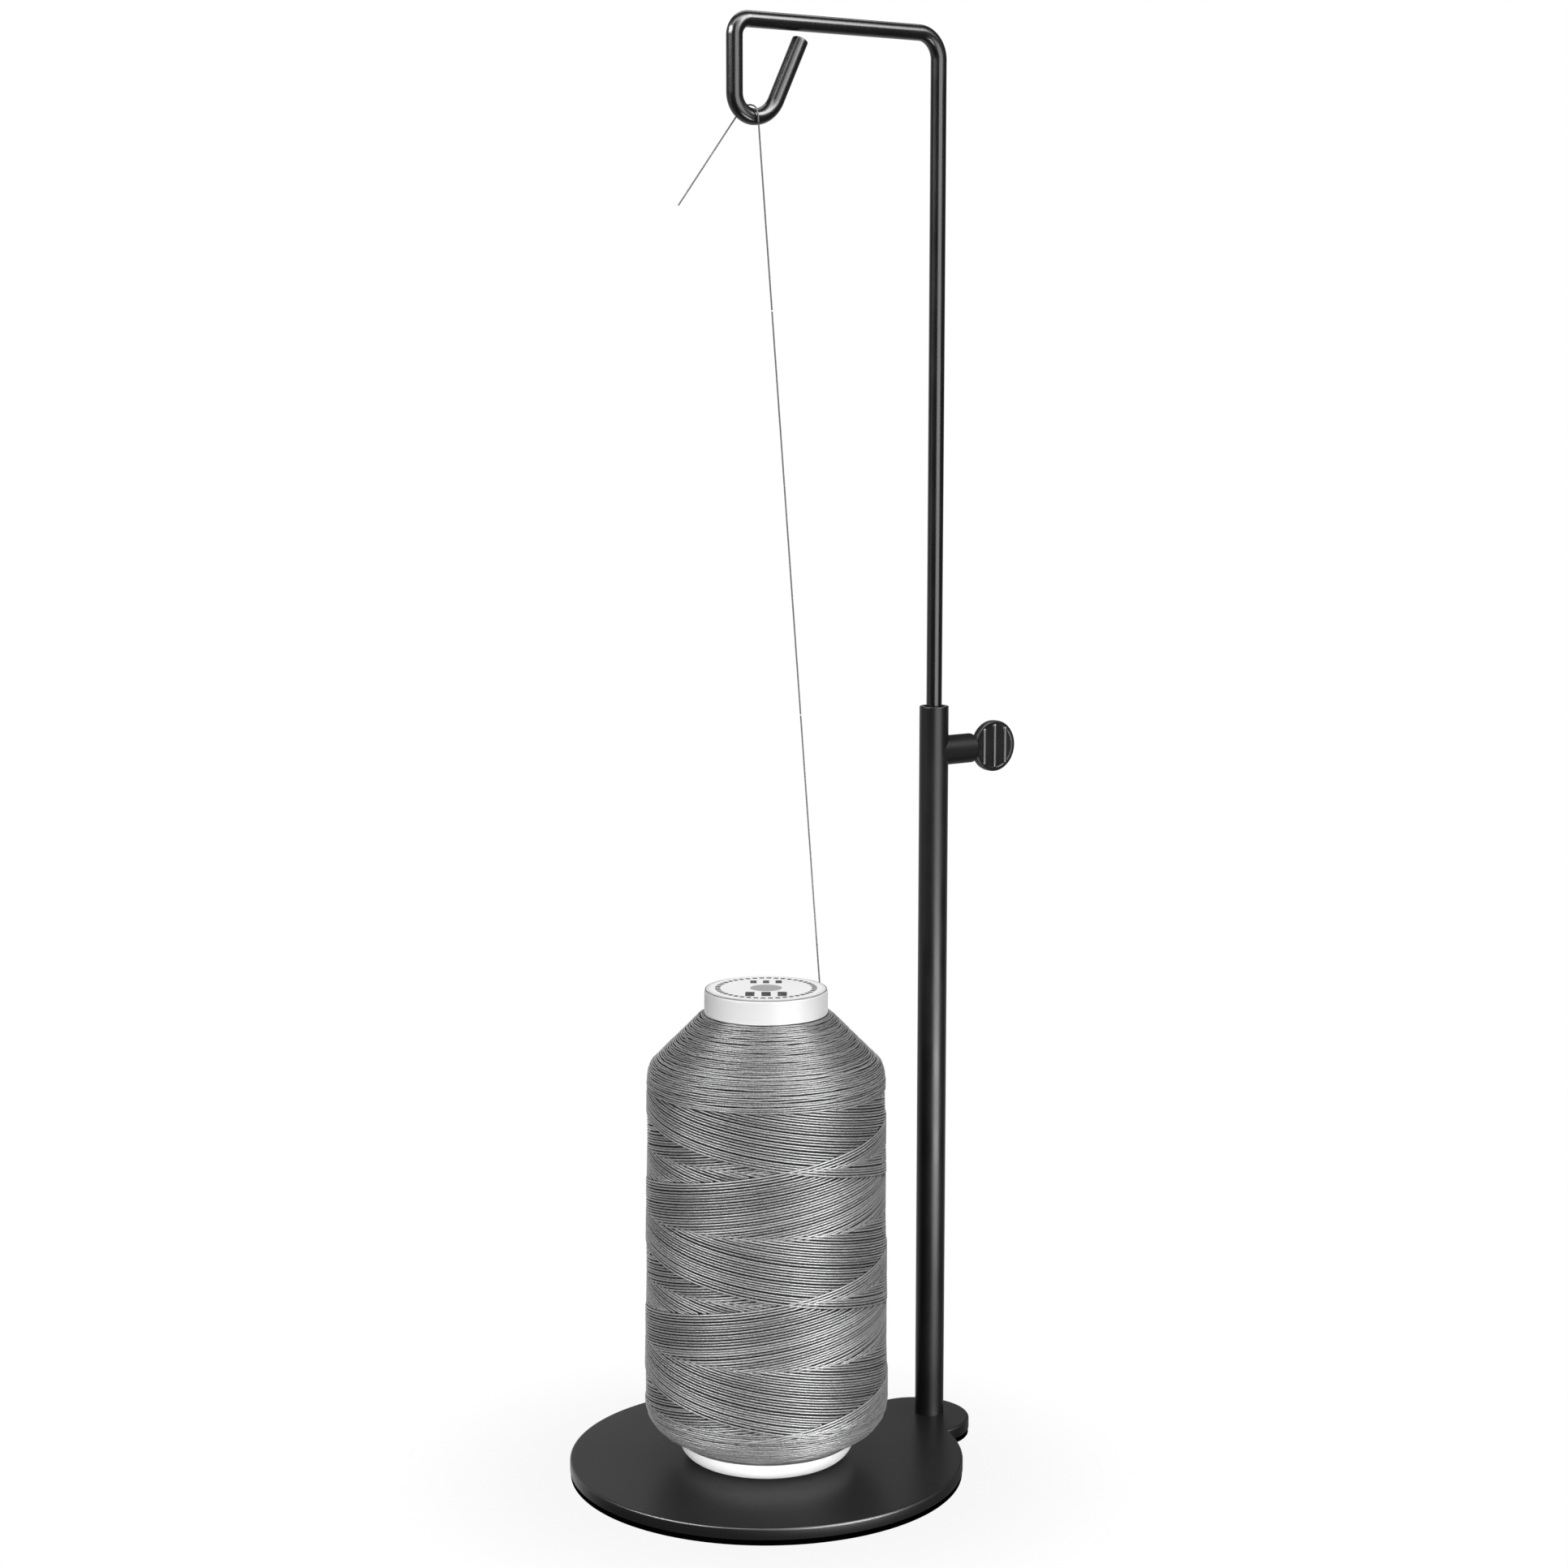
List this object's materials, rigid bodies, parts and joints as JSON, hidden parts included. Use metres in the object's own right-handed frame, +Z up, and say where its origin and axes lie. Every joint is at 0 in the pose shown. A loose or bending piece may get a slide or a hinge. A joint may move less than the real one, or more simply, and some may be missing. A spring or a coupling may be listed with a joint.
{
  "type": "thread spool holder",
  "caption": "Table-top thread spool holder: heavy round base with a spool pin, and a post whose clamped sliding rod ends in a hook that leads the thread off the spool.",
  "frame": {"origin": "on the table under the centre of the base disc, at the rubber pad's underside", "axes": "+Z up along the spool pin; the post stands on +Y; the arm reaches back over the disc towards -Y; +X to the right when looking along +Y"},
  "size_m": [0.1, 0.129, 0.3626],
  "materials": {
    "base_paint": "satin black powder paint",
    "post_paint": "semi-gloss black paint on turned steel",
    "pad_rubber": "matte black",
    "plain_steel": "zinc plated",
    "nylon": "natural nylon",
    "white_plastic": "moulded, soft gloss",
    "label_paper": "printed film label",
    "grey_thread": "polyester sewing thread"
  },
  "bodies": {
    "stand": {"base_plate": "base_paint", "base_pad": "pad_rubber", "spool_pin": "plain_steel", "pin_screw": "plain_steel", "post_tube": "post_paint", "post_plug": "plain_steel", "post_screw": "plain_steel", "clamp_boss": "post_paint", "thread_lower_run": "grey_thread", "thread_middle_run": "grey_thread"},
    "rod_guide": {"rod_bush": "nylon", "thread_upper_run": "grey_thread"},
    "mast": {"hook_rod": "post_paint", "thread_tail": "grey_thread"},
    "tip": {"clamp_tip": "nylon"},
    "screw": {"thumb_screw": "post_paint"},
    "spool": {"spool_core": "white_plastic", "spool_cap": "white_plastic", "spool_label": "label_paper", "thread_package": "grey_thread", "thread_outer_layer": "grey_thread"}
  },
  "joints": [
    {"name": "mast_lift", "type": "slide", "parent": "stand", "child": "rod_guide", "axis": [0, 0, 1], "range_m": [-0.105, 0.03], "deforming": ["thread_middle_run"]},
    {"name": "mast_swivel", "type": "hinge", "parent": "rod_guide", "child": "mast", "pos_m": [0, 0.05275, 0.13], "axis": [0, 0, 1], "range_deg": [-90, 90], "deforming": ["thread_upper_run"]},
    {"name": "clamp_travel", "type": "slide", "parent": "stand", "child": "tip", "axis": [0, 1, 0], "range_m": [0, 0.00175]},
    {"name": "clamp_turn", "type": "hinge", "parent": "tip", "child": "screw", "pos_m": [0, 0.065, 0.1809], "axis": [0, 1, 0], "range_deg": [0, 900]},
    {"name": "spool_lift", "type": "slide", "parent": "stand", "child": "spool", "axis": [0, 0, 1], "range_m": [0, 0.07], "deforming": ["thread_lower_run"]}
  ],
  "couplings": [
    {"joint": "clamp_turn", "follows": "clamp_travel", "rad_per_m": 8976}
  ]
}
